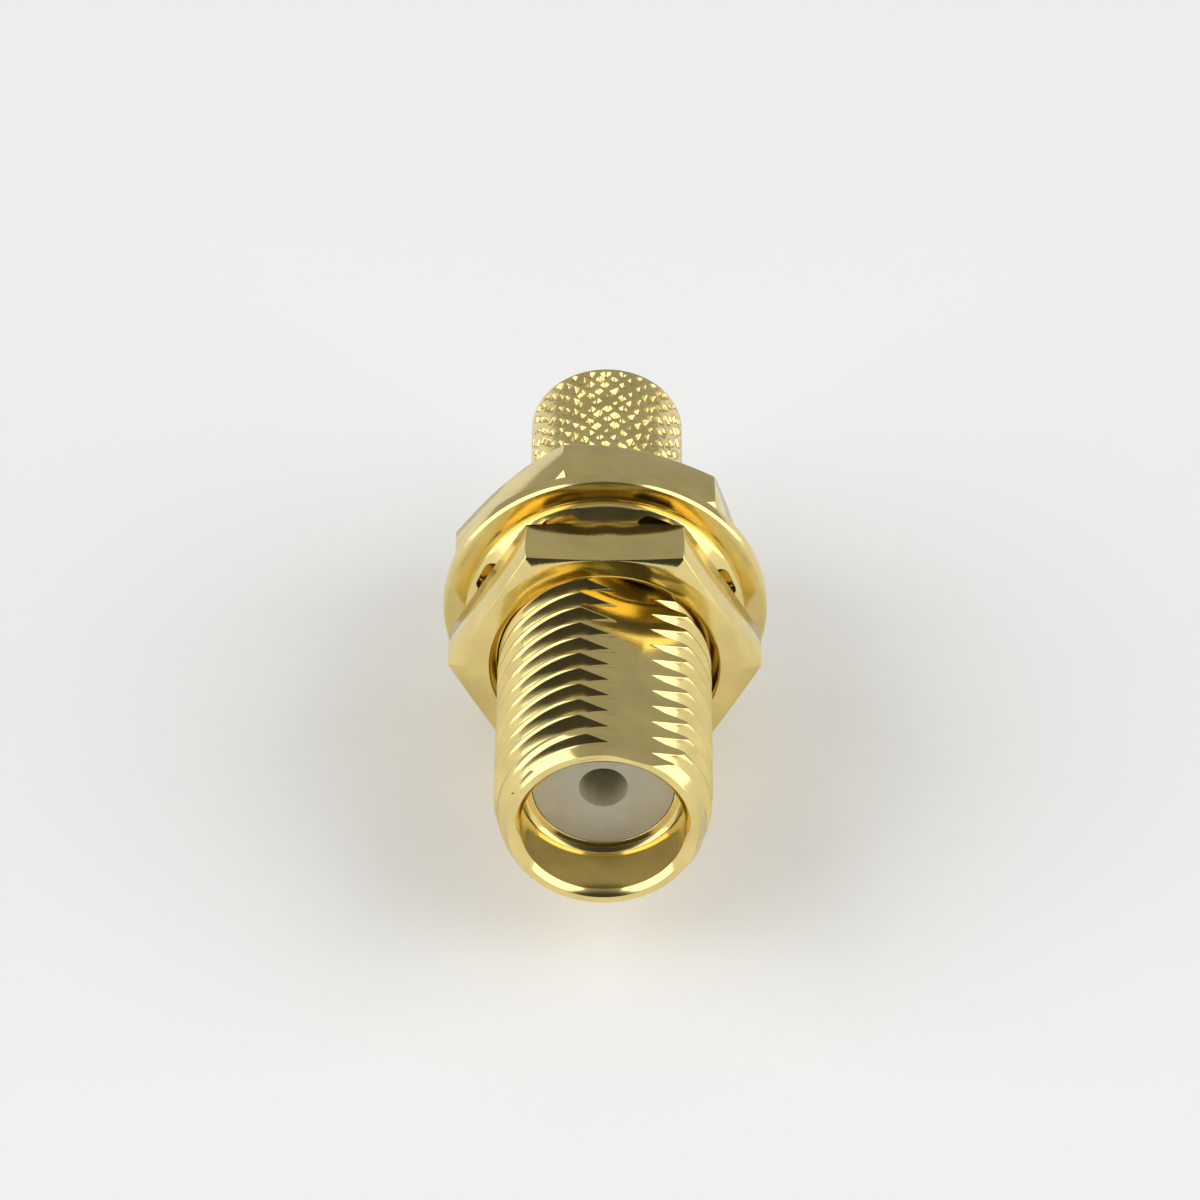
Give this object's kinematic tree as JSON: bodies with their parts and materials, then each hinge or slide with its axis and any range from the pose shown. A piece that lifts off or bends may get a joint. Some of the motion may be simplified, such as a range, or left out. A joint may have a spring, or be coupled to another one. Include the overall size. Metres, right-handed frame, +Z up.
{
  "type": "sma connector",
  "caption": "Bulkhead SMA jack with a crimp stem: threaded barrel with a flat, flange, hexagonal body, insulator, dished lock washer and hexagon nut.",
  "frame": {"origin": "on the connector's axis, in the plane of the flange's flat face that seats on the panel", "axes": "+Y along the axis towards the cable end, -Y towards the mating face, +Z up, with the barrel's flat turned 18.5 degrees from +Z towards +X"},
  "size_m": [0.0096, 0.0193, 0.0096],
  "materials": {
    "gold_plate": "polished gold plating on turned brass",
    "insulator": "smooth white fluoropolymer"
  },
  "bodies": {
    "connector": {"body": "gold_plate", "insulator": "insulator"},
    "washer": {"lock_washer": "gold_plate"},
    "nut": {"hex_nut": "gold_plate"}
  },
  "joints": [
    {"name": "nut_travel", "type": "slide", "parent": "connector", "child": "washer", "axis": [0, -1, 0], "range_m": [0, 0.00706]},
    {"name": "nut_turn", "type": "hinge", "parent": "washer", "child": "nut", "pos_m": [0, 0, 0], "axis": [0, -1, 0], "range_deg": [0, 3600]}
  ],
  "couplings": [
    {"joint": "nut_turn", "follows": "nut_travel", "rad_per_m": 8904.6}
  ]
}
